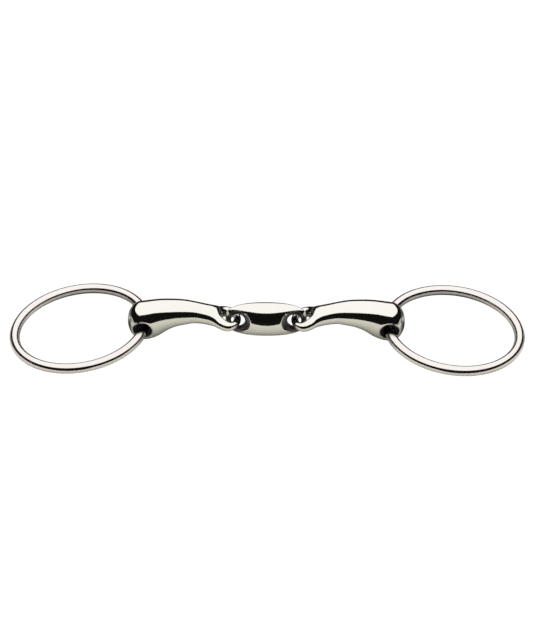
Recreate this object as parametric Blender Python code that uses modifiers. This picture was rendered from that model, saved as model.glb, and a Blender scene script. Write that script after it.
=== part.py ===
"""Loose-ring snaffle bit with a double-jointed mouthpiece, lying flat, arms arched up in the middle.

Five separate pieces, linked like a chain: two rings, two cannons (the arms of the mouthpiece) and a
flattened centre link. Metres, +X from ring to ring, +Y to the back, +Z up, resting on the plane z = 0.
Each moving piece has its origin on the axis that it turns about: a cannon on the fold axis where its
eye passes through the centre link, a ring on the axis of the bore that it hangs in.
"""

import math

import bmesh
import bpy
import numpy as np
from mathutils import Matrix, Vector

MM = 0.001

# --- driving sizes -----------------------------------------------------------------------------------
RING_OUTSIDE = 70 * MM            # outside diameter of a ring
RING_WIRE = 5 * MM                # diameter of the round wire of a ring
BORE_SPACING = 121 * MM           # centre to centre of the two bores, with the joints resting slack
BORE_HEIGHT = 9 * MM              # middle of a bore above the table
BORE_DIAMETER = 8.6 * MM          # clear diameter of the bore that a ring slides through
BORE_LIP = 1.6 * MM               # radius of the rounded lip at both ends of a bore
BULB_WIDTH = 16.8 * MM            # the thick outer end of a cannon, from front to back
BULB_DOME = 7.9 * MM              # how far the round outer end runs beyond the last station
NECK_DOME = 3.4 * MM              # the same at the inner end, which is hidden in the root of the eye
DOME_FULLNESS = 0.85              # below 1 the round ends of a cannon are fuller than a half ellipsoid
LINK_LENGTH = 40 * MM             # centre link, along X
LINK_HEIGHT = 17.2 * MM           # centre link, across its broad face
LINK_THICKNESS = 11.2 * MM        # centre link, through its middle
LINK_THINNING = 0.47              # share of that thickness lost towards its ends, before they round off
LINK_BLUNTNESS = (2.4, 3.0)       # powers of the rounded oval outline, along X and across
LINK_TIP = 0.995                  # share of the half length beyond which the outline stops growing blunter
LINK_LEAN = math.radians(15)      # the link leans back this far
LINK_CENTRE_HEIGHT = 11.2 * MM    # middle of the link above the table
FOLD_X = 14.1 * MM                # fold axis of a cannon, from the middle of the bit ...
FOLD_HEIGHT = 10.8 * MM           # ... and above the table
HOLE_X = 13.8 * MM                # each hole of the link, from its middle
HOLE_DROP = 0.5 * MM              # the holes sit this far below the middle of the link
HOLE_DIAMETER = 7.2 * MM          # clear diameter of a hole of the link
HOLE_LIP = 1.8 * MM               # radius of the rounded lip round it
HOLE_DEPTH = 6.8 * MM             # the link is about this thick at its holes
CUTTER_EXTRA = 2 * MM             # a cutter stands out this far beyond the piece at both ends
CUTTER_STEP = 0.15                # its outer part is wider than its lip by this share of the lip

# --- sizes worked out from them ------------------------------------------------------------------------
RING_RADIUS = (RING_OUTSIDE - RING_WIRE) / 2
BORE_X = BORE_SPACING / 2
RING_SLACK_IN = 0.6 * MM          # the wire sits this far inward of the bore's axis ...
RING_SLACK_DOWN = 0.7 * MM        # ... and this far below it
RING_TILT = math.asin((BORE_HEIGHT - RING_SLACK_DOWN - RING_WIRE / 2) / (2 * RING_RADIUS))

# Centre line and section of a cannon from its neck to its round outer end: distance from the middle of
# the bit, height, half width and half height, all in millimetres.
CANNON_STATIONS = (
    (26.0, 13.3, 5.75, 4.4),
    (28.4, 13.9, 5.6, 4.7),
    (31.0, 14.45, 5.55, 4.9),
    (35.0, 15.15, 5.7, 5.3),
    (39.4, 15.3, 6.3, 6.1),
    (43.8, 15.05, 6.75, 6.75),
    (48.2, 14.3, 7.2, 7.65),
    (52.4, 13.1, 7.65, 8.7),
    (56.4, 11.5, 8.15, 9.7),
    (60.2, 10.1, 8.4, 10.1),
)

# Centre line of one half of an eye, from the nose inside the link back to the neck: distance from the
# middle of the bit, sideways offset, height and radius, all in millimetres.
EYE_STATIONS = (
    (14.1, 0.0, 10.8, 1.8),
    (14.5, 2.3, 10.8, 1.8),
    (16.0, 4.8, 10.8, 1.95),
    (18.4, 6.0, 11.0, 2.4),
    (20.6, 5.65, 11.55, 2.6),
    (22.6, 4.4, 12.2, 2.9),
    (24.6, 2.6, 12.85, 3.3),
    (26.8, 0.8, 13.4, 3.8),
)

# --- fineness of the meshes ------------------------------------------------------------------------------
RING_SEGMENTS = 72
RING_WIRE_SEGMENTS = 12
CANNON_SIDES = 24
EYE_SIDES = 12
LINK_SIDES = 28
LINK_RINGS = 18
CUTTER_SEGMENTS = 24
STATION_STEPS = 2                 # rings of points from one station to the next
LIP_ANGLES = (80, 60, 40, 20, 0)
DOME_ANGLES = (15, 30, 45, 58, 70, 80, 87)

STEEL = {
    "ring": (0.63, 0.61, 0.58),
    "cannon": (0.66, 0.65, 0.63),
    "link": (0.66, 0.65, 0.63),
}


# --- helpers ---------------------------------------------------------------------------------------------
def clear_scene():
    for old in list(bpy.data.objects):
        bpy.data.objects.remove(old, do_unlink=True)


def new_collection(name):
    collection = bpy.data.collections.new(name)
    bpy.context.scene.collection.children.link(collection)
    return collection


def steel(name):
    """Polished stainless steel."""
    material = bpy.data.materials.new(name)
    material.use_nodes = True
    shader = material.node_tree.nodes["Principled BSDF"]
    shader.inputs["Base Color"].default_value = (*STEEL[name], 1.0)
    shader.inputs["Metallic"].default_value = 1.0
    shader.inputs["Roughness"].default_value = 0.08
    return material


def add_object(name, mesh, collection):
    obj = bpy.data.objects.new(name, mesh)
    collection.objects.link(obj)
    return obj


def add_cutter(name, mesh):
    """A shape that only cuts or joins: drawn as wire and left out of the result."""
    cutter = add_object(name, mesh, cutters)
    cutter.hide_render = True
    cutter.display_type = "WIRE"
    return cutter


def shade_smooth(mesh):
    for face in mesh.polygons:
        face.use_smooth = True


def tube(name, points, sides, cyclic=False):
    """Mesh of a round bar along points of (x, y, z, radius) in millimetres, closed by flat caps."""
    curve = bpy.data.curves.new(name, "CURVE")
    curve.dimensions = "3D"
    curve.bevel_mode = "ROUND"
    curve.bevel_depth = MM
    curve.bevel_resolution = sides // 2 - 2
    curve.use_fill_caps = not cyclic
    spline = curve.splines.new("POLY")
    spline.points.add(len(points) - 1)
    spline.use_cyclic_u = cyclic
    for point, (x, y, z, radius) in zip(spline.points, points):
        point.co = (x * MM, y * MM, z * MM, 1.0)
        point.radius = radius
    guide = add_object(name + "_guide", curve, cutters)
    guide.hide_render = True
    bpy.context.view_layer.update()
    mesh = bpy.data.meshes.new_from_object(guide.evaluated_get(bpy.context.evaluated_depsgraph_get()))
    mesh.transform(guide.matrix_world)
    bpy.data.objects.remove(guide, do_unlink=True)
    body = bmesh.new()
    body.from_mesh(mesh)
    bmesh.ops.remove_doubles(body, verts=body.verts, dist=0.005 * MM)
    bmesh.ops.recalc_face_normals(body, faces=body.faces)
    body.to_mesh(mesh)
    body.free()
    return mesh


def smooth_run(stations, steps):
    """Extra points between hand-set stations, along a Catmull-Rom curve through all of them."""
    points = []
    last = len(stations) - 1
    for i in range(last):
        before = Vector(stations[max(i - 1, 0)])
        start = Vector(stations[i])
        end = Vector(stations[i + 1])
        after = Vector(stations[min(i + 2, last)])
        for step in range(steps):
            t = step / steps
            bend = (2 * before - 5 * start + 4 * end - after) * t * t
            twist = (3 * start - before - 3 * end + after) * t * t * t
            points.append(tuple((2 * start + (end - before) * t + bend + twist) / 2))
    points.append(tuple(stations[last]))
    return points


def flared_cutter(name, radius, lip, half_length):
    """A round cutter along Z that widens at both ends, so that the hole it leaves has rounded lips.

    The profile stands at +X and runs from the top to the bottom; the Screw modifier turns it.
    """
    mesh = bpy.data.meshes.new(name)
    body = bmesh.new()
    arc = [math.radians(angle) for angle in LIP_ANGLES]
    upper = [(radius + lip * (1 - math.cos(a)), half_length - lip + lip * math.sin(a)) for a in arc]
    wide = upper[0][0] + CUTTER_STEP * lip
    end = half_length + CUTTER_EXTRA
    upper = [(0.0, end), (wide, end)] + upper
    profile = upper + [(x, -z) for x, z in reversed(upper)]
    verts = [body.verts.new((x, 0.0, z)) for x, z in profile]
    for first, second in zip(verts, verts[1:]):
        body.edges.new((first, second))
    body.to_mesh(mesh)
    body.free()
    cutter = add_cutter(name, mesh)
    turn = cutter.modifiers.new("turn", "SCREW")
    turn.axis = "Z"
    turn.steps = CUTTER_SEGMENTS
    turn.render_steps = CUTTER_SEGMENTS
    turn.use_merge_vertices = True
    turn.merge_threshold = 0.00001
    return cutter


def boolean(target, tool, operation, folds_into_itself=False):
    modifier = target.modifiers.new(tool.name, "BOOLEAN")
    modifier.operation = operation
    modifier.solver = "EXACT"
    modifier.use_self = folds_into_itself
    modifier.object = tool


def place_origin(obj, point):
    """Moves an object's origin to a point of the world without moving its shape."""
    obj.data.transform(Matrix.Translation(-Vector(point)))
    obj.location = point


# --- pieces ----------------------------------------------------------------------------------------------
def make_ring(side, name):
    """A round wire ring through the bore of one cannon, its outer edge resting on the table."""
    bpy.ops.mesh.primitive_torus_add(
        major_radius=RING_RADIUS,
        minor_radius=RING_WIRE / 2,
        major_segments=RING_SEGMENTS,
        minor_segments=RING_WIRE_SEGMENTS,
    )
    ring = bpy.context.object
    ring.name = name
    for holder in list(ring.users_collection):
        holder.objects.unlink(ring)
    pieces.objects.link(ring)
    ring.data.transform(Matrix.Translation((RING_RADIUS, 0, 0)))
    ring.data.transform(Matrix.Rotation(RING_TILT, 4, "Y"))
    ring.data.transform(Matrix.Translation((-RING_SLACK_IN, 0, -RING_SLACK_DOWN)))
    if side < 0:
        ring.data.transform(Matrix.Rotation(math.pi, 4, "Z"))
    ring.location = (side * BORE_X, 0, BORE_HEIGHT)
    shade_smooth(ring.data)
    ring.data.materials.append(steel("ring"))
    return ring


def dome(station, reach):
    """Points that round off a bar beyond its last station, from the station outwards."""
    x, _, z, radius = station
    points = []
    for angle in DOME_ANGLES:
        a = math.radians(angle)
        points.append((x + reach / MM * math.sin(a), 0.0, z, radius * math.cos(a) ** DOME_FULLNESS))
    return points


def cannon_bar(side):
    """The tapered, arched arm: round at the outer end, wider than it is tall near the eye."""
    stations = [(side * x, 0.0, z, half_height) for x, z, _, half_height in CANNON_STATIONS]
    inner = dome(stations[0], -side * NECK_DOME)
    outer = dome(stations[-1], side * BULB_DOME)
    mesh = tube(f"cannon_bar_{side}", inner[::-1] + smooth_run(stations, STATION_STEPS) + outer, CANNON_SIDES)
    along = [x * MM for x, _, _, _ in CANNON_STATIONS]
    widths = [half_width / half_height for _, _, half_width, half_height in CANNON_STATIONS]
    for vertex in mesh.vertices:
        vertex.co.y *= np.interp(abs(vertex.co.x), along, widths)
    return mesh


def cannon_eye(side):
    """The closed loop at the inner end of an arm."""
    half = [(side * x, y, z, radius) for x, y, z, radius in EYE_STATIONS]
    there = smooth_run(half, STATION_STEPS)
    back = [(x, -y, z, radius) for x, y, z, radius in reversed(there[1:])]
    return tube(f"cannon_eye_{side}", there + back, EYE_SIDES, cyclic=True)


def make_cannon(side, name):
    cannon = add_object(name, cannon_bar(side), pieces)
    place_origin(cannon, (side * FOLD_X, 0, FOLD_HEIGHT))
    eye = add_cutter(f"eye_{name}", cannon_eye(side))
    boolean(cannon, eye, "UNION", folds_into_itself=True)
    bore = flared_cutter(f"bore_{name}", BORE_DIAMETER / 2, BORE_LIP, BULB_WIDTH / 2)
    bore.location = (side * BORE_X, 0, BORE_HEIGHT)
    bore.rotation_euler = (math.radians(90), 0, 0)
    boolean(cannon, bore, "DIFFERENCE")
    shade_smooth(cannon.data)
    cannon.data.materials.append(steel("cannon"))
    return cannon


def link_surface(x, y, z):
    """Moves a point of the unit ball on to the link's outside: blunt oval outline, thin towards the ends."""
    along, across = LINK_BLUNTNESS
    near_end = min(abs(x), LINK_TIP)
    blunt = (1 - near_end**along) ** (1 / across) / math.sqrt(1 - near_end**2)
    thin = 1 - LINK_THINNING * x**2
    return (x * LINK_LENGTH / 2, y * thin * LINK_THICKNESS / 2, z * blunt * LINK_HEIGHT / 2)


def make_centre_link(name):
    """The flattened oval link, with a hole from front to back near each end."""
    mesh = bpy.data.meshes.new(name)
    body = bmesh.new()
    bmesh.ops.create_uvsphere(body, u_segments=LINK_SIDES, v_segments=LINK_RINGS, radius=1.0)
    body.to_mesh(mesh)
    body.free()
    mesh.transform(Matrix.Rotation(math.radians(90), 4, "Y"))
    for vertex in mesh.vertices:
        vertex.co = link_surface(*vertex.co)
    link = add_object(name, mesh, pieces)
    lean = Matrix.Rotation(-LINK_LEAN, 4, "X")
    link.data.transform(lean)
    link.location = (0, 0, LINK_CENTRE_HEIGHT)
    for side in (-1, 1):
        hole = flared_cutter(f"link_hole_{side}", HOLE_DIAMETER / 2, HOLE_LIP, HOLE_DEPTH / 2)
        hole.matrix_world = (
            Matrix.Translation((side * HOLE_X, 0, LINK_CENTRE_HEIGHT))
            @ lean
            @ Matrix.Translation((0, 0, -HOLE_DROP))
            @ Matrix.Rotation(math.radians(90), 4, "X")
        )
        boolean(link, hole, "DIFFERENCE")
    shade_smooth(link.data)
    link.data.materials.append(steel("link"))
    return link


clear_scene()
pieces = new_collection("snaffle_bit")
cutters = new_collection("cutters")
make_centre_link("centre_link")
make_cannon(-1, "left_cannon")
make_cannon(1, "right_cannon")
make_ring(-1, "left_ring")
make_ring(1, "right_ring")
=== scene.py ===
"""Looks of the loose-ring snaffle bit: polished steel pieces, a pale floor and soft studio light.

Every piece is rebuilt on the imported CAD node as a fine, smooth surface, because a mirror finish shows
each facet. A cannon or the link is a formula for the distance to its surface: the CAD mesh is remeshed
evenly and its points are pulled on to that surface, which also gives exact normals and soft, cast
fillets. Formulas work in millimetres, in the right-hand half of the bit; the left half is its mirror.
"""

import math

import bpy
import numpy as np
from mathutils import Matrix, Vector
from mathutils.kdtree import KDTree


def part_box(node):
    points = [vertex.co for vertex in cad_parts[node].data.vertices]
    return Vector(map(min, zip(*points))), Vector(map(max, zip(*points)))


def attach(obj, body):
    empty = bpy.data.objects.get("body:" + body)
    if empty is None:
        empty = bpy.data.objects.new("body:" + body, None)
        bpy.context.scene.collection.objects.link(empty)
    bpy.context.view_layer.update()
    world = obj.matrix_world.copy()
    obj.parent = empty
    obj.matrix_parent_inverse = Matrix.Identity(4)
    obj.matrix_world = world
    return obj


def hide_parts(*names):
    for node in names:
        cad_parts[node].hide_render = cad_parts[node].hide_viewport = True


MM = 0.001

# --- sizes, in millimetres ---------------------------------------------------------------------------
# Most are the CAD's. The rings are 0.01 smaller in radius, so that they stay inside the CAD's box. A
# hole of the link is 0.15 smaller in radius, and lips and flares have measures of their own. A cannon's
# line goes on past the CAD's stations at both ends, and the station at 60.2 is 0.18 higher.
RING_RADIUS = 32.49
RING_WIRE_RADIUS = 2.5
BORE_X = 60.5
BORE_HEIGHT = 9.0
BORE_RADIUS = 4.3
BORE_ROUNDING = 2.4
BULB_START = 60.2
BULB_DOME = 7.9
LINK_HALF = (20.0, 5.6, 8.6)
LINK_THINNING = 0.47
LINK_BLUNTNESS = (2.4, 3.0)
LINK_TIP = 0.995
LINK_LEAN = math.radians(15)
LINK_CENTRE_HEIGHT = 11.2
HOLE_X = 13.8
HOLE_DROP = 0.5
HOLE_RADIUS = 3.45
HOLE_FLARE = 1.7
HOLE_FLARE_DEPTH = 3.3
HOLE_FLARE_REACH = 1.1
HOLE_SOFTENING = 0.85
HOLE_ROUNDING = 0.9
NECK_START = 26.0
NECK_DOME = 3.4
NECK_ROUNDING = 2.4
DOME_POWER = 2.4
EYE_REACH = 36

# A cannon from neck to bulb: distance from the middle of the bit, height, half width and half height.
CANNON_STATIONS = (
    (20.0, 11.4, 5.9, 3.8),
    (23.0, 12.4, 5.85, 4.1),
    (26.0, 13.3, 5.75, 4.4),
    (28.4, 13.9, 5.6, 4.7),
    (31.0, 14.45, 5.55, 4.9),
    (35.0, 15.15, 5.7, 5.3),
    (39.4, 15.3, 6.3, 6.1),
    (43.8, 15.05, 6.75, 6.75),
    (48.2, 14.3, 7.2, 7.65),
    (52.4, 13.1, 7.65, 8.7),
    (56.4, 11.5, 8.15, 9.7),
    (60.2, 10.28, 8.4, 10.1),
    (64.0, 9.85, 8.4, 10.0),
    (72.0, 9.5, 8.4, 9.9),
)

# Half of an eye's centre line, from its nose to the neck: distance, sideways offset, height and radius.
EYE_STATIONS = (
    (14.1, 0.0, 10.8, 1.8),
    (14.5, 2.3, 10.8, 1.8),
    (16.0, 4.8, 10.8, 1.95),
    (18.4, 6.0, 11.0, 2.4),
    (20.6, 5.65, 11.55, 2.6),
    (22.6, 4.4, 12.2, 2.9),
    (24.6, 2.6, 12.85, 3.3),
    (26.8, 0.8, 13.4, 3.8),
)

# --- fineness ----------------------------------------------------------------------------------------
CANNON_VOXEL = 0.42 * MM
LINK_VOXEL = 0.32 * MM
EYE_SAMPLES = 1400
FOOT_ROUNDS = 3
RING_STEPS = 288
RING_WIRE_STEPS = 40
SETTLE_ROUNDS = 6
LONGEST_PULL = 0.6
FLATTEST_SLOPE = 0.05

# --- steel: masks in millimetres, heights of bumps in metres -----------------------------------------
# Tones are a pair of colours; a finish is the least roughness, the haze added to it, and the waves.
RING_TONES = ((0.57, 0.54, 0.525), (0.51, 0.475, 0.455))
RING_FINISH = (0.10, 0.06, 0.10)
MOUTH_TONES = ((0.56, 0.55, 0.51), (0.51, 0.50, 0.46))
MOUTH_FINISH = (0.05, 0.04, 0.08)
# Painted shade in the holes: mask radii for the bore and for the link's holes, the near-black colour
# painted there, and how much duller those walls are.
BORE_MASK = (4.5, 5.3)
LINK_HOLE_MASK = (5.3, 6.0)
HOLE_PAINTED_SHADE = (0.09, 0.08, 0.085)
HOLE_DULLNESS = 0.3
TONE_NOISE = (55.0, 3.0)
HAIRLINE_NOISE = (420.0, 5.0)
HAIRLINE_STRETCH = (1.0, 9.0, 9.0)
HAIRLINE_RANGE = (0.35, 0.75)
HAIRLINE_BUMP = 0.12
HAIRLINE_HEIGHT = 0.000004
SKIN_NOISE = (160.0, 2.0)
SKIN_HEIGHT = 0.00006

# --- camera, floor and light: metres, and millimetres for the lens -----------------------------------
LOOK_AT = Vector((0.0002, -0.00055, 0.0104))
CAMERA_DISTANCE = 0.918
CAMERA_AZIMUTH = math.radians(2.17)
CAMERA_ELEVATION = math.radians(37.12)
CAMERA_ROLL = math.radians(-1.0)
CAMERA_LENS = 104.75
FLOOR_HALF = 0.8
FLOOR_HEIGHT = -0.0002
WHITE = 1.05
SHEET_DARK = (0.01, 0.01, 0.01)
SHEET_PALE = (0.9, 0.89, 0.82)
SHEET_EDGE = 0.001
SHEET_SIDES = (0.062, 0.085, -0.074, -0.052)
SHEET_BOW = 0.036
SHEET_BOW_WIDTH = 0.03
SHEET_BACK = (0.014, 0.034)
SHEET_BACK_BOW = 0.014
SHEET_BACK_LEVEL = 0.07
SHADE_MIDDLE = 0.005
SHADE_WIDTH = 0.008
SHADE_DEPTH = 0.8
RING_SHADE = (0.077, 0.006)
RING_SHADE_WIDTH = 0.017
SOFTBOX_X = (-1.35, 1.35)
SOFTBOX_Y = (-0.86, 2.0)
SOFTBOX_HEIGHT = 0.75
SOFTBOX_BRIGHTNESS = 1.75
ROOM_COLOUR = (0.9, 0.75, 0.75, 1.0)
ROOM_BRIGHTNESS = 0.012


# --- formulas for surfaces ---------------------------------------------------------------------------
class SmoothLine:
    """Natural cubic spline through stations, as a function of the position along them."""

    def __init__(self, stations, along):
        self.values = np.array(stations, float)
        self.t = np.array(along, float)
        n = len(self.t)
        step = np.diff(self.t)
        matrix = np.eye(n)
        right = np.zeros_like(self.values)
        for i in range(1, n - 1):
            matrix[i, i - 1 : i + 2] = step[i - 1], 2 * (step[i - 1] + step[i]), step[i]
            slope_after = (self.values[i + 1] - self.values[i]) / step[i]
            slope_before = (self.values[i] - self.values[i - 1]) / step[i - 1]
            right[i] = 6 * (slope_after - slope_before)
        self.bend = np.linalg.solve(matrix, right)
        self.step = step

    def __call__(self, t):
        t = np.clip(t, self.t[0], self.t[-1])
        i = np.clip(np.searchsorted(self.t, t) - 1, 0, len(self.step) - 1)
        h = self.step[i]
        a = (self.t[i + 1] - t) / h
        b = (t - self.t[i]) / h
        h, a, b = h[:, None], a[:, None], b[:, None]
        bent = ((a**3 - a) * self.bend[i] + (b**3 - b) * self.bend[i + 1]) * h**2 / 6
        return a * self.values[i] + b * self.values[i + 1] + bent


def smooth_min(a, b, size):
    """The smaller of two distances, with a fillet of about that size where they meet."""
    h = np.clip(size - np.abs(a - b), 0, None) / size
    return np.minimum(a, b) - h**3 * size / 6


def smooth_max(a, b, size):
    return -smooth_min(-a, -b, size)


def gradient(surface, p, step=0.01):
    """Slope of a surface formula at points p, by central differences."""
    slope = np.empty_like(p)
    for axis in range(3):
        shift = np.zeros(3)
        shift[axis] = step
        slope[:, axis] = (surface(p + shift) - surface(p - shift)) / (2 * step)
    return slope


def make_eye_formula():
    """Distance to the round bar of the eye, by the nearest point of its closed centre line."""
    half = np.array(EYE_STATIONS)
    other = half[1:] * (1, -1, 1, 1)
    loop = np.vstack([other[::-1], half])
    along = np.concatenate([[0], np.cumsum(np.linalg.norm(np.diff(loop[:, :3], axis=0), axis=1))])
    line = SmoothLine(loop, along)
    samples = line(np.linspace(0, along[-1], EYE_SAMPLES))
    tangents = np.gradient(samples, axis=0)
    tree = KDTree(len(samples))
    for i, sample in enumerate(samples):
        tree.insert(sample[:3], i)
    tree.balance()

    def eye(p):
        nearest = np.array([tree.find(point)[1] for point in p])
        at = samples[nearest]
        along_line = tangents[nearest]
        offset = p - at[:, :3]
        run = (offset * along_line[:, :3]).sum(1) / (along_line[:, :3] ** 2).sum(1)
        run = np.clip(run, -1, 1)[:, None]
        at = at + run * along_line
        return np.linalg.norm(p - at[:, :3], axis=1) - at[:, 3]

    return eye


def make_cannon_formula():
    """Distance to a whole cannon: tapered arm, domed ends, eye, and the bore cut through."""
    table = np.array(CANNON_STATIONS)
    line = SmoothLine(table[:, 1:], table[:, 0])
    eye = make_eye_formula()

    def slope(x):
        return (line(x + 0.05)[:, 0] - line(x - 0.05)[:, 0]) / 0.1

    def arm(p):
        foot = p[:, 0].copy()
        for _ in range(FOOT_ROUNDS):
            lean = slope(foot)
            height = line(foot)[:, 0]
            miss = (p[:, 0] - foot) + (p[:, 2] - height) * lean
            foot = foot + miss / (1 + lean**2)
        height, wide, tall = line(foot).T
        up2 = (p[:, 2] - height) ** 2 + (p[:, 0] - foot) ** 2
        across2 = p[:, 1] ** 2 / wide**2 + up2 / tall**2
        steepness = np.sqrt((p[:, 1] ** 2 / wide**4 + up2 / tall**4 + 1e-6) / (across2 + 1e-6 * tall**2))
        outer = np.clip((foot - BULB_START) / BULB_DOME, 0, None)
        inner = np.clip((NECK_START - foot) / NECK_DOME, 0, None)
        reach = across2 + outer**DOME_POWER + inner**DOME_POWER
        return (np.sqrt(reach) - 1) / steepness

    def cannon(p):
        solid = arm(p)
        near = p[:, 0] < EYE_REACH
        if near.any():
            solid[near] = smooth_min(solid[near], eye(p[near]), NECK_ROUNDING)
        bore = np.hypot(p[:, 0] - BORE_X, p[:, 2] - BORE_HEIGHT) - BORE_RADIUS
        return smooth_max(solid, -bore, BORE_ROUNDING)

    return cannon


def link_formula(p):
    """Distance to the centre link: a flattened, leaning oval with a flared hole near each end."""
    cos, sin = math.cos(LINK_LEAN), math.sin(LINK_LEAN)
    x = p[:, 0]
    up = p[:, 2] - LINK_CENTRE_HEIGHT
    depth = p[:, 1] * cos - up * sin
    height = p[:, 1] * sin + up * cos
    along, across = LINK_BLUNTNESS
    u = x / LINK_HALF[0]
    near_end = np.clip(np.abs(u), 0, LINK_TIP)
    blunt = (1 - near_end**along) ** (1 / across) / np.sqrt(1 - near_end**2)
    thick = LINK_HALF[1] * (1 - LINK_THINNING * near_end**2)
    tall = LINK_HALF[2] * blunt
    reach = np.sqrt(u**2 + (depth / thick) ** 2 + (height / tall) ** 2)
    scale = np.sqrt((u / LINK_HALF[0]) ** 2 + (depth / thick**2) ** 2 + (height / tall**2) ** 2)
    solid = (reach - 1) * reach / np.maximum(scale, 0.02)
    flare = HOLE_FLARE * np.clip(np.abs(depth) / HOLE_FLARE_DEPTH, 0, HOLE_FLARE_REACH) ** 4
    hole = np.hypot(np.abs(x) - HOLE_X, height + HOLE_DROP) - HOLE_RADIUS - flare
    return smooth_max(solid, -hole * HOLE_SOFTENING, HOLE_ROUNDING)


# --- pieces ------------------------------------------------------------------------------------------
def even_mesh(node, voxel):
    """An even, closed copy of a CAD node, ready to be pulled on to its formula."""
    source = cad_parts[node]
    copy = bpy.data.objects.new(node + "_even", source.data.copy())
    bpy.context.scene.collection.objects.link(copy)
    remesh = copy.modifiers.new("even", "REMESH")
    remesh.mode = "VOXEL"
    remesh.voxel_size = voxel
    bpy.context.view_layer.update()
    mesh = bpy.data.meshes.new_from_object(copy.evaluated_get(bpy.context.evaluated_depsgraph_get()))
    bpy.data.objects.remove(copy, do_unlink=True)
    return mesh


def relax(points, edges):
    """Moves each point half way to the middle of its neighbours."""
    total = np.zeros_like(points)
    count = np.zeros(len(points))
    for a, b in ((0, 1), (1, 0)):
        np.add.at(total, edges[:, a], points[edges[:, b]])
        np.add.at(count, edges[:, a], 1)
    return points + 0.5 * (total / count[:, None] - points)


def pull_on_to(surface, points):
    """Moves points along the slope of a formula, to where it says zero."""
    slope = gradient(surface, points)
    length2 = np.maximum((slope**2).sum(1), FLATTEST_SLOPE)
    step = surface(points) / length2
    return points - np.clip(step, -LONGEST_PULL, LONGEST_PULL)[:, None] * slope


def carve(node, surface, voxel, side, material):
    """A fine piece for a node: its even copy, settled on the surface, with the surface's own normals."""
    mesh = even_mesh(node, voxel)
    mesh.name = node + "_fine"
    count = len(mesh.vertices)
    points = np.empty(count * 3)
    mesh.vertices.foreach_get("co", points)
    points = points.reshape(-1, 3) / MM * (side, 1, 1)
    edges = np.empty(len(mesh.edges) * 2, int)
    mesh.edges.foreach_get("vertices", edges)
    edges = edges.reshape(-1, 2)
    for turn in range(SETTLE_ROUNDS):
        if turn:
            points = relax(points, edges)
        points = pull_on_to(surface, points)
    points = pull_on_to(surface, points)
    normals = gradient(surface, points)
    normals /= np.linalg.norm(normals, axis=1)[:, None]
    mesh.vertices.foreach_set("co", (points * (side * MM, MM, MM)).ravel())
    for face in mesh.polygons:
        face.use_smooth = True
    mesh.update()
    mesh.normals_split_custom_set_from_vertices(normals * (side, 1, 1))
    return place(node, mesh, material)


def place(node, mesh, material):
    """Puts a finished mesh in the scene as the piece that stands for a CAD node."""
    mesh.materials.clear()
    mesh.materials.append(material)
    piece = bpy.data.objects.new(node + "_steel", mesh)
    bpy.context.scene.collection.objects.link(piece)
    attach(piece, node)
    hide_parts(node)
    return piece


def make_ring(node, side, material):
    """A smooth wire ring laid over the CAD ring, whose box gives its middle and its tilt."""
    low, high = (Vector(corner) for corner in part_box(node))
    middle = (low + high) / 2
    tilt = math.asin((high.z - low.z - 2 * RING_WIRE_RADIUS * MM) / (2 * RING_RADIUS * MM))
    around = np.linspace(0, 2 * math.pi, RING_STEPS, endpoint=False)
    about = np.linspace(0, 2 * math.pi, RING_WIRE_STEPS, endpoint=False)
    around, about = np.meshgrid(around, about, indexing="ij")
    reach = RING_RADIUS + RING_WIRE_RADIUS * np.cos(about)
    ahead, aside = np.cos(around), np.sin(around)
    grid = np.stack([reach * ahead, reach * aside, RING_WIRE_RADIUS * np.sin(about)], -1)
    outward = np.stack([np.cos(about) * ahead, np.cos(about) * aside, np.sin(about)], -1)
    steps, sides = grid.shape[:2]
    faces = []
    for i in range(steps):
        for j in range(sides):
            far = (i + 1) % steps
            after = (j + 1) % sides
            faces.append((i * sides + j, far * sides + j, far * sides + after, i * sides + after))
    turn = np.array(Matrix.Rotation(side * tilt, 3, "Y"))
    points = grid.reshape(-1, 3) * MM @ turn.T + np.array(middle)
    mesh = bpy.data.meshes.new(node + "_fine")
    mesh.from_pydata(points.tolist(), [], faces)
    for face in mesh.polygons:
        face.use_smooth = True
    mesh.update()
    mesh.normals_split_custom_set_from_vertices(outward.reshape(-1, 3) @ turn.T)
    return place(node, mesh, material)


# --- materials ---------------------------------------------------------------------------------------
def hole_mask(nodes, links, place_on, axis_x, axis_height, lean, radii):
    """1 inside a pair of holes that run from front to back, fading to 0 between the two radii."""
    level = nodes.new("ShaderNodeMapping")
    level.vector_type = "TEXTURE"
    level.inputs["Location"].default_value = (0.0, 0.0, axis_height * MM)
    level.inputs["Rotation"].default_value = (-lean, 0.0, 0.0)
    links.new(place_on.outputs["Object"], level.inputs["Vector"])
    mirrored = nodes.new("ShaderNodeVectorMath")
    mirrored.operation = "ABSOLUTE"
    links.new(level.outputs["Vector"], mirrored.inputs[0])
    offset = nodes.new("ShaderNodeVectorMath")
    offset.operation = "SUBTRACT"
    offset.inputs[1].default_value = (axis_x * MM, 0.0, 0.0)
    links.new(mirrored.outputs["Vector"], offset.inputs[0])
    flatten = nodes.new("ShaderNodeVectorMath")
    flatten.operation = "MULTIPLY"
    flatten.inputs[1].default_value = (1.0, 0.0, 1.0)
    links.new(offset.outputs["Vector"], flatten.inputs[0])
    distance = nodes.new("ShaderNodeVectorMath")
    distance.operation = "LENGTH"
    links.new(flatten.outputs["Vector"], distance.inputs[0])
    mask = nodes.new("ShaderNodeMapRange")
    mask.interpolation_type = "SMOOTHSTEP"
    mask.inputs["From Min"].default_value = radii[0] * MM
    mask.inputs["From Max"].default_value = radii[1] * MM
    mask.inputs["To Min"].default_value = 1.0
    mask.inputs["To Max"].default_value = 0.0
    links.new(distance.outputs["Value"], mask.inputs["Value"])
    return mask.outputs["Result"]


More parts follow.
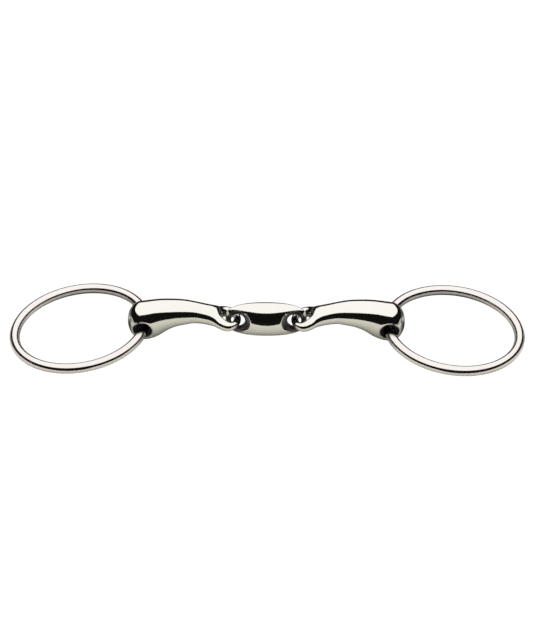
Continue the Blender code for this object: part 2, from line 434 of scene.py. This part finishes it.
def blend_colour(nodes, links, factor, first, second):
    """A colour mix; either colour may be a plain colour or the output of another node."""
    mix = nodes.new("ShaderNodeMix")
    mix.data_type = "RGBA"
    links.new(factor, mix.inputs["Factor"])
    for socket, colour in ((mix.inputs[6], first), (mix.inputs[7], second)):
        if isinstance(colour, tuple):
            socket.default_value = (*colour, 1.0)
        else:
            links.new(colour, socket)
    return mix.outputs[2]


def noise(nodes, links, place_on, scale, detail):
    """A cloudy pattern that moves with the piece."""
    cloud = nodes.new("ShaderNodeTexNoise")
    cloud.inputs["Scale"].default_value = scale
    cloud.inputs["Detail"].default_value = detail
    links.new(place_on, cloud.inputs["Vector"])
    return cloud.outputs["Fac"]


def polished_steel(name, tones, finish, holes=None):
    """Mirror-polished stainless steel.

    Fine buffing haze varies the roughness, hairline marks and a barely uneven skin bend the mirror, and
    the colour drifts slightly between the two given tones. A finish is the least roughness, the haze
    added to it and the strength of the skin's waves. The walls of the holes get a painted shade, a
    near-black colour, and are also made dull.
    """
    colour, shade = tones
    roughness, haze, ripple = finish
    material = bpy.data.materials.new(name)
    material.use_nodes = True
    nodes = material.node_tree.nodes
    links = material.node_tree.links
    shader = nodes["Principled BSDF"]
    shader.inputs["Metallic"].default_value = 1.0
    place_on = nodes.new("ShaderNodeTexCoord")

    cloud = noise(nodes, links, place_on.outputs["Object"], *TONE_NOISE)
    tone = blend_colour(nodes, links, cloud, colour, shade)

    stretch = nodes.new("ShaderNodeMapping")
    stretch.inputs["Scale"].default_value = HAIRLINE_STRETCH
    links.new(place_on.outputs["Object"], stretch.inputs["Vector"])
    hairlines = noise(nodes, links, stretch.outputs["Vector"], *HAIRLINE_NOISE)
    rough = nodes.new("ShaderNodeMapRange")
    rough.inputs["From Min"].default_value = HAIRLINE_RANGE[0]
    rough.inputs["From Max"].default_value = HAIRLINE_RANGE[1]
    rough.inputs["To Min"].default_value = roughness
    rough.inputs["To Max"].default_value = roughness + haze
    links.new(hairlines, rough.inputs["Value"])
    roughly = rough.outputs["Result"]

    if holes:
        mask = hole_mask(nodes, links, place_on, *holes)
        # Painted shade: inside the holes the colour is painted near black, and the roughness is raised.
        tone = blend_colour(nodes, links, mask, tone, HOLE_PAINTED_SHADE)
        dull = nodes.new("ShaderNodeMath")
        dull.operation = "MULTIPLY_ADD"
        dull.inputs[1].default_value = HOLE_DULLNESS
        links.new(mask, dull.inputs[0])
        links.new(roughly, dull.inputs[2])
        roughly = dull.outputs["Value"]
    links.new(tone, shader.inputs["Base Color"])
    links.new(roughly, shader.inputs["Roughness"])

    skin = noise(nodes, links, place_on.outputs["Object"], *SKIN_NOISE)
    wave = nodes.new("ShaderNodeBump")
    wave.inputs["Strength"].default_value = ripple
    wave.inputs["Distance"].default_value = SKIN_HEIGHT
    links.new(skin, wave.inputs["Height"])
    marks = nodes.new("ShaderNodeBump")
    marks.inputs["Strength"].default_value = HAIRLINE_BUMP
    marks.inputs["Distance"].default_value = HAIRLINE_HEIGHT
    links.new(hairlines, marks.inputs["Height"])
    links.new(wave.outputs["Normal"], marks.inputs["Normal"])
    links.new(marks.outputs["Normal"], shader.inputs["Normal"])
    return material


def math_node(nodes, links, operation, first, *others):
    """One step of arithmetic; the others may be plain numbers or the outputs of other nodes."""
    node = nodes.new("ShaderNodeMath")
    node.operation = operation
    links.new(first, node.inputs[0])
    for socket, value in zip(node.inputs[1:], others):
        if isinstance(value, float):
            socket.default_value = value
        else:
            links.new(value, socket)
    return node.outputs["Value"]


def fade(nodes, links, value, start, end, before, after):
    """Changes smoothly from one number to another while a value goes from start to end."""
    node = nodes.new("ShaderNodeMapRange")
    node.interpolation_type = "SMOOTHSTEP"
    links.new(value, node.inputs["Value"])
    for socket, number in zip(list(node.inputs)[1:5], (start, end, before, after)):
        socket.default_value = number
    return node.outputs["Result"]


def hump(nodes, links, *terms):
    """1 where every (value, middle, width) is at its middle, falling off smoothly all round."""
    total = None
    for value, middle, width in terms:
        away = math_node(nodes, links, "ADD", value, -middle)
        squared = math_node(nodes, links, "MULTIPLY", away, away)
        squared = math_node(nodes, links, "MULTIPLY", squared, -1 / width**2)
        total = squared if total is None else math_node(nodes, links, "ADD", total, squared)
    return math_node(nodes, links, "EXPONENT", total)


def paleness(nodes, links):
    """1 on the pale sheet and 0 on the dark table, with the painted fades and shades between.

    The sheet's front edge bows back at the middle of the bit, and its back fades. Darker patches stand
    for the shade of the bit: a strip under it and a round one inside each ring.
    """
    place_on = nodes.new("ShaderNodeTexCoord")
    split = nodes.new("ShaderNodeSeparateXYZ")
    links.new(place_on.outputs["Object"], split.inputs["Vector"])
    x, y = split.outputs["X"], split.outputs["Y"]
    sideways = math_node(nodes, links, "ABSOLUTE", x)
    middle = hump(nodes, links, (x, 0.0, SHEET_BOW_WIDTH))
    front = fade(nodes, links, sideways, *SHEET_SIDES)
    front = math_node(nodes, links, "MULTIPLY_ADD", middle, SHEET_BOW, front)
    behind_front = math_node(nodes, links, "SUBTRACT", y, front)
    pale = fade(nodes, links, behind_front, -SHEET_EDGE, SHEET_EDGE, 0.0, 1.0)
    bowed_y = math_node(nodes, links, "MULTIPLY_ADD", middle, SHEET_BACK_BOW, y)
    back = fade(nodes, links, bowed_y, *SHEET_BACK, 1.0, SHEET_BACK_LEVEL)
    pale = math_node(nodes, links, "MULTIPLY", pale, back)
    under_bit = hump(nodes, links, (y, SHADE_MIDDLE, SHADE_WIDTH))
    across_ring = (sideways, RING_SHADE[0], RING_SHADE_WIDTH)
    along_ring = (y, RING_SHADE[1], RING_SHADE_WIDTH)
    inside_ring = hump(nodes, links, across_ring, along_ring)
    for shade in (under_bit, inside_ring):
        left = math_node(nodes, links, "MULTIPLY_ADD", shade, -SHADE_DEPTH, 1.0)
        pale = math_node(nodes, links, "MULTIPLY", pale, left)
    return pale


def floor_material():
    """Plain white to the camera; the steel mirrors a painted sheet instead, which the softbox lights."""
    material = bpy.data.materials.new("pale_sheet")
    material.use_nodes = True
    nodes = material.node_tree.nodes
    links = material.node_tree.links
    nodes.remove(nodes["Principled BSDF"])
    colour = blend_colour(nodes, links, paleness(nodes, links), SHEET_DARK, SHEET_PALE)
    sheet = nodes.new("ShaderNodeBsdfDiffuse")
    links.new(colour, sheet.inputs["Color"])
    white = nodes.new("ShaderNodeEmission")
    white.inputs["Strength"].default_value = WHITE
    ray = nodes.new("ShaderNodeLightPath")
    choose = nodes.new("ShaderNodeMixShader")
    links.new(ray.outputs["Is Camera Ray"], choose.inputs["Fac"])
    links.new(sheet.outputs["BSDF"], choose.inputs[1])
    links.new(white.outputs["Emission"], choose.inputs[2])
    links.new(choose.outputs["Shader"], nodes["Material Output"].inputs["Surface"])
    return material


# --- studio ------------------------------------------------------------------------------------------
def make_floor():
    """A square that is white to the camera, just under the bit."""
    corners = [(x * FLOOR_HALF, y * FLOOR_HALF, 0.0) for x, y in ((-1, -1), (1, -1), (1, 1), (-1, 1))]
    mesh = bpy.data.meshes.new("floor")
    mesh.from_pydata(corners, [], [(0, 1, 2, 3)])
    floor = bpy.data.objects.new("floor", mesh)
    bpy.context.scene.collection.objects.link(floor)
    floor.location.z = FLOOR_HEIGHT
    mesh.materials.append(floor_material())


def make_softbox():
    """One large flat softbox overhead, further to the back than to the front."""
    width = SOFTBOX_X[1] - SOFTBOX_X[0]
    depth = SOFTBOX_Y[1] - SOFTBOX_Y[0]
    light = bpy.data.lights.new("overhead_softbox", "AREA")
    light.shape = "ELLIPSE"
    light.size = width
    light.size_y = depth
    area = math.pi * width * depth / 4
    light.energy = SOFTBOX_BRIGHTNESS * math.pi * area
    lamp = bpy.data.objects.new("overhead_softbox", light)
    bpy.context.scene.collection.objects.link(lamp)
    lamp.location = (sum(SOFTBOX_X) / 2, sum(SOFTBOX_Y) / 2, SOFTBOX_HEIGHT)


def make_world():
    """White to the camera, a dim room to everything that mirrors or scatters."""
    world = bpy.data.worlds.new("studio")
    bpy.context.scene.world = world
    world.use_nodes = True
    nodes = world.node_tree.nodes
    links = world.node_tree.links
    backdrop = nodes["Background"]
    backdrop.inputs["Color"].default_value = (1.0, 1.0, 1.0, 1.0)
    backdrop.inputs["Strength"].default_value = WHITE
    room = nodes.new("ShaderNodeBackground")
    room.inputs["Color"].default_value = ROOM_COLOUR
    room.inputs["Strength"].default_value = ROOM_BRIGHTNESS
    ray = nodes.new("ShaderNodeLightPath")
    choose = nodes.new("ShaderNodeMixShader")
    links.new(ray.outputs["Is Camera Ray"], choose.inputs["Fac"])
    links.new(room.outputs["Background"], choose.inputs[1])
    links.new(backdrop.outputs["Background"], choose.inputs[2])
    links.new(choose.outputs["Shader"], nodes["World Output"].inputs["Surface"])


def make_camera():
    """The photograph's view: from the front, above and a little to the right, with a long lens."""
    camera = bpy.data.objects.new("camera", bpy.data.cameras.new("camera"))
    bpy.context.scene.collection.objects.link(camera)
    flat = math.cos(CAMERA_ELEVATION)
    back = Vector((
        math.sin(CAMERA_AZIMUTH) * flat,
        -math.cos(CAMERA_AZIMUTH) * flat,
        math.sin(CAMERA_ELEVATION),
    ))
    camera.location = LOOK_AT + back * CAMERA_DISTANCE
    camera.rotation_mode = "QUATERNION"
    turn = (-back).to_track_quat("-Z", "Y").to_matrix() @ Matrix.Rotation(CAMERA_ROLL, 3, "Z")
    camera.rotation_quaternion = turn.to_quaternion()
    camera.data.lens = CAMERA_LENS
    camera.data.sensor_width = 36.0
    camera.data.clip_start = 0.01
    camera.data.clip_end = 20.0
    bpy.context.scene.camera = camera


# --- build -------------------------------------------------------------------------------------------
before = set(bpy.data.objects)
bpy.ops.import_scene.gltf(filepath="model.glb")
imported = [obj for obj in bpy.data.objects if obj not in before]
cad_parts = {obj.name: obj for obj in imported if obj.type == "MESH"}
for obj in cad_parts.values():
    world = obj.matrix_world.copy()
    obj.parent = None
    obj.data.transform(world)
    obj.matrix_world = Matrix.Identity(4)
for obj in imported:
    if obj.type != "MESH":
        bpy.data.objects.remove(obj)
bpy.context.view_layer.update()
bpy.context.scene.view_settings.view_transform = "Standard"

# Where the painted shade of the holes lies: the cannons' bores and the link's two holes.
bore = (BORE_X, BORE_HEIGHT, 0.0, BORE_MASK)
link_holes = (HOLE_X, LINK_CENTRE_HEIGHT - HOLE_DROP, LINK_LEAN, LINK_HOLE_MASK)
ring_steel = polished_steel("ring_steel", RING_TONES, RING_FINISH)
arm_steel = polished_steel("arm_steel", MOUTH_TONES, MOUTH_FINISH, bore)
link_steel = polished_steel("link_steel", MOUTH_TONES, MOUTH_FINISH, link_holes)

cannon_formula = make_cannon_formula()
carve("left_cannon", cannon_formula, CANNON_VOXEL, -1, arm_steel)
carve("right_cannon", cannon_formula, CANNON_VOXEL, 1, arm_steel)
carve("centre_link", link_formula, LINK_VOXEL, 1, link_steel)
make_ring("left_ring", -1, ring_steel)
make_ring("right_ring", 1, ring_steel)

make_floor()
make_softbox()
make_world()
make_camera()
